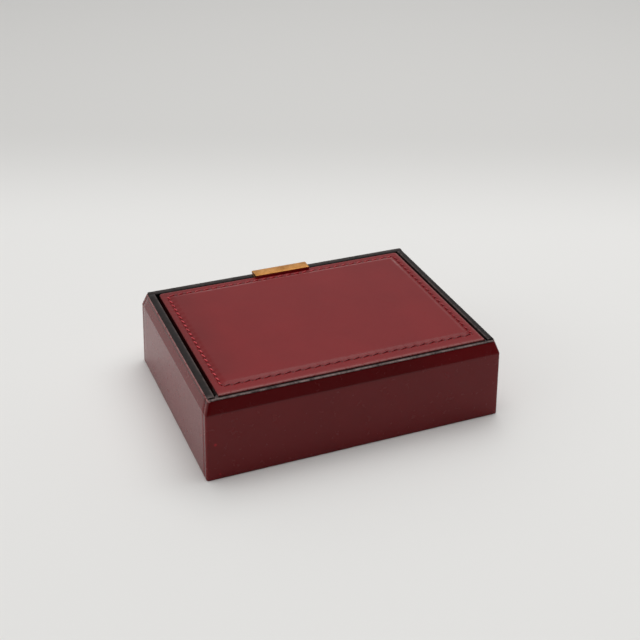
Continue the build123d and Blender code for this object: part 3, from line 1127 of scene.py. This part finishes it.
for piece in (front_leather, back_leather, left_leather, right_leather):
    paint(piece, "wear_and_highlight", cladding_wear_and_highlight)
    paint(piece, "darkened", bevel_shade)
paint(front_rim, "wear_and_highlight", front_rim_middle_line)
paint(left_rim, "wear_and_highlight", side_rim_wear_and_highlight)
paint(right_rim, "wear_and_highlight", side_rim_wear_and_highlight)
paint(hinge, "wear_and_highlight", hinge_wear_and_highlight)
paint(lid_cover, "wear_and_highlight", lid_wear_and_highlight)
paint(lid_cover, "darkened", lid_shade)
paint(threads, "painted_thread_shade", thread_shade)
paint(clip, "tarnished", brass_tarnish)

cladding_leather = red_leather(
    "burgundy_cladding", colour=(0.150, 0.001, 0.003), light=(0.165, 0.0015, 0.004),
    dark=(0.135, 0.0008, 0.002), worn_and_highlit=(0.40, 0.22, 0.21), gloss=0.26, specular=0.25, sheen=0.12,
    nicks=(((-70.1, -55.7, 19.0), 0.9), ((-68.5, -56.2, 2.6), 0.6)),
)
lid_leather = red_leather(
    "burgundy_lid", colour=(0.180, 0.003, 0.005), light=(0.195, 0.004, 0.006),
    dark=(0.165, 0.002, 0.004), worn_and_highlit=(0.30, 0.12, 0.115), gloss=0.40, specular=0.235, sheen=0.0,
)
black = black_leather()
well_suede = suede("black_suede", (0.010, 0.009, 0.010), (0.035, 0.031, 0.033))
felt_material = suede("black_felt", (0.010, 0.010, 0.011), (0.028, 0.027, 0.029))

# Each piece of the scene with its material, its body, its slot and the node that it replaces
DRESSED = (
    (front_leather, cladding_leather, "case", "burgundy_leather", "front_leather"),
    (back_leather, cladding_leather, "case", "burgundy_leather", "back_leather"),
    (left_leather, cladding_leather, "case", "burgundy_leather", "left_leather"),
    (right_leather, cladding_leather, "case", "burgundy_leather", "right_leather"),
    (front_rim, black, "case", "black_leather", "front_rim"),
    (left_rim, black, "case", "black_leather", "left_rim"),
    (right_rim, black, "case", "black_leather", "right_rim"),
    (back_face, black, "case", "black_leather", "back_recess_strip"),
    (well_linings[0], well_suede, "case", "suede", "left_well_lining"),
    (well_linings[1], well_suede, "case", "suede", "right_well_lining"),
    (felt, felt_material, "case", "base_felt", "base_cover"),
    (lid_cover, lid_leather, "lid", "lid_leather", "lid_leather"),
    (threads, thread_material(), "lid", None, None),
    (clip, brushed_brass(), "lid", "brass", "tab_clip"),
    (tongue, black, "lid", "black_leather", "tab_tongue"),
    (lid_lining, well_suede, "lid", "suede", "lid_lining"),
    (pad, pad_material(), "lid", "padding", "lid_padding"),
)
for piece, material, body, slot, node in DRESSED:
    dress(piece, material)
    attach(piece, body)
    if node:
        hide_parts(node)

dress(hinge, black)
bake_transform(hinge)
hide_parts("hinge_leather")

wood = wood_material()
for name in ("floor_board", "front_wall", "back_wall", "left_wall", "right_wall", "lid_board"):
    dress(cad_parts[name], wood)
liner = liner_material()
for name in ("front_liner", "back_liner", "left_liner", "right_liner", "divider"):
    dress(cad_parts[name], liner)

# Stage, lights and camera

CAMERA_AZIMUTH = -22.55
FLOOR_WHITE = 0.80
FLOOR_SHADE = 0.655
SWEEP_START = 0.17
SWEEP_END = 0.37


def floor_material():
    """Pale paper. The floor is flat, and behind the box it has painted shade, darkening as paper that curves
    up would.
    """
    n = Nodes("pale_paper")
    turned = n.tree.nodes.new("ShaderNodeVectorRotate")
    turned.rotation_type = "Z_AXIS"
    set_inputs(turned, Angle=math.radians(-CAMERA_AZIMUTH))
    n.link(n.place, turned.inputs["Vector"])
    split = n.tree.nodes.new("ShaderNodeSeparateXYZ")
    n.link(turned.outputs["Vector"], split.inputs["Vector"])
    away = n.tree.nodes.new("ShaderNodeMapRange")
    away.interpolation_type = "SMOOTHSTEP"
    set_inputs(away, From_Min=SWEEP_START, From_Max=SWEEP_END)
    n.link(split.outputs["Y"], away.inputs["Value"])
    white = (FLOOR_WHITE, FLOOR_WHITE * 0.993, FLOOR_WHITE * 0.972)
    # The grey is painted shade
    grey = (FLOOR_SHADE, FLOOR_SHADE * 0.99, FLOOR_SHADE * 0.965)
    n.feed(Base_Color=n.mix(away.outputs["Result"], white, grey))
    n.set(Roughness=0.9, Specular_IOR_Level=0.2)
    return n.material


FLOOR_REACH = 4000.0
FLOOR_LEVEL = -0.02
corners = [(x * FLOOR_REACH, y * FLOOR_REACH, FLOOR_LEVEL) for x, y in ((-1, -1), (1, -1), (1, 1), (-1, 1))]
floor = mesh_object("floor", corners, [(0, 1, 2, 3)])
dress(floor, floor_material())


def area_light(name, place, size, power):
    """A soft white light aimed at the box, in metres and watts."""
    light = bpy.data.lights.new(name, "AREA")
    light.shape = "RECTANGLE"
    light.size, light.size_y = size
    light.energy = power
    lamp = add_object(name, light)
    lamp.location = place
    lamp.rotation_mode = "QUATERNION"
    lamp.rotation_quaternion = (-Vector(place)).to_track_quat("-Z", "Y")


area_light("overhead", (0.25, 0.15, 1.5), (1.6, 1.6), 18.9)
area_light("from_the_left", (-1.35, 0.1, 0.45), (1.8, 0.8), 2.2)

ROOM_DARK = 0.03
ROOM_BRIGHT = 0.62
ROOM_BRIGHT_SIDE = (-0.35, 0.94, 0.0)


def soft_room():
    """A room that is bright behind the box, a little to its left, and dark in front of it."""
    world = bpy.data.worlds.new("soft_room")
    bpy.context.scene.world = world
    world.use_nodes = True
    tree = world.node_tree
    direction = tree.nodes.new("ShaderNodeTexCoord")
    along = tree.nodes.new("ShaderNodeVectorMath")
    along.operation = "DOT_PRODUCT"
    along.inputs[1].default_value = ROOM_BRIGHT_SIDE
    tree.links.new(direction.outputs["Generated"], along.inputs[0])
    level = tree.nodes.new("ShaderNodeMapRange")
    level.interpolation_type = "SMOOTHSTEP"
    set_inputs(level, From_Min=-0.85, From_Max=0.65, To_Min=ROOM_DARK, To_Max=ROOM_BRIGHT)
    tree.links.new(along.outputs["Value"], level.inputs["Value"])
    background = tree.nodes["Background"]
    set_inputs(background, Color=(1, 1, 1, 1))
    tree.links.new(level.outputs["Result"], background.inputs["Strength"])


soft_room()

# The camera, at the photograph's angle. Its distance and offsets are in lengths of the case.
CAMERA_ELEVATION = 30.0
CAMERA_ROLL = 0.74
CAMERA_DISTANCE = 3.895
CAMERA_SIDE = -0.0196
CAMERA_RISE = -0.2237
CAMERA_LENS = 63.99


def place_camera():
    """The camera from its angles, its distance and its offsets."""
    azimuth, elevation = math.radians(CAMERA_AZIMUTH), math.radians(CAMERA_ELEVATION)
    back = Vector((
        math.sin(azimuth) * math.cos(elevation),
        -math.cos(azimuth) * math.cos(elevation),
        math.sin(elevation),
    ))
    level_right = Vector((0, 0, 1)).cross(back).normalized()
    level_up = back.cross(level_right)
    roll = math.radians(CAMERA_ROLL)
    right = math.cos(roll) * level_right + math.sin(roll) * level_up
    up = -math.sin(roll) * level_right + math.cos(roll) * level_up
    offset = CAMERA_DISTANCE * back - CAMERA_SIDE * right - CAMERA_RISE * up
    turn = Matrix((right, up, back)).transposed().to_4x4()
    camera_data = bpy.data.cameras.new("camera")
    camera_data.lens = CAMERA_LENS
    camera_data.sensor_width = 36
    camera_data.clip_start, camera_data.clip_end = 0.01, 20
    camera = add_object("camera", camera_data)
    camera.matrix_world = Matrix.Translation(offset * CASE_LENGTH * MM) @ turn
    bpy.context.scene.camera = camera


place_camera()
bpy.context.scene.view_settings.view_transform = "Standard"
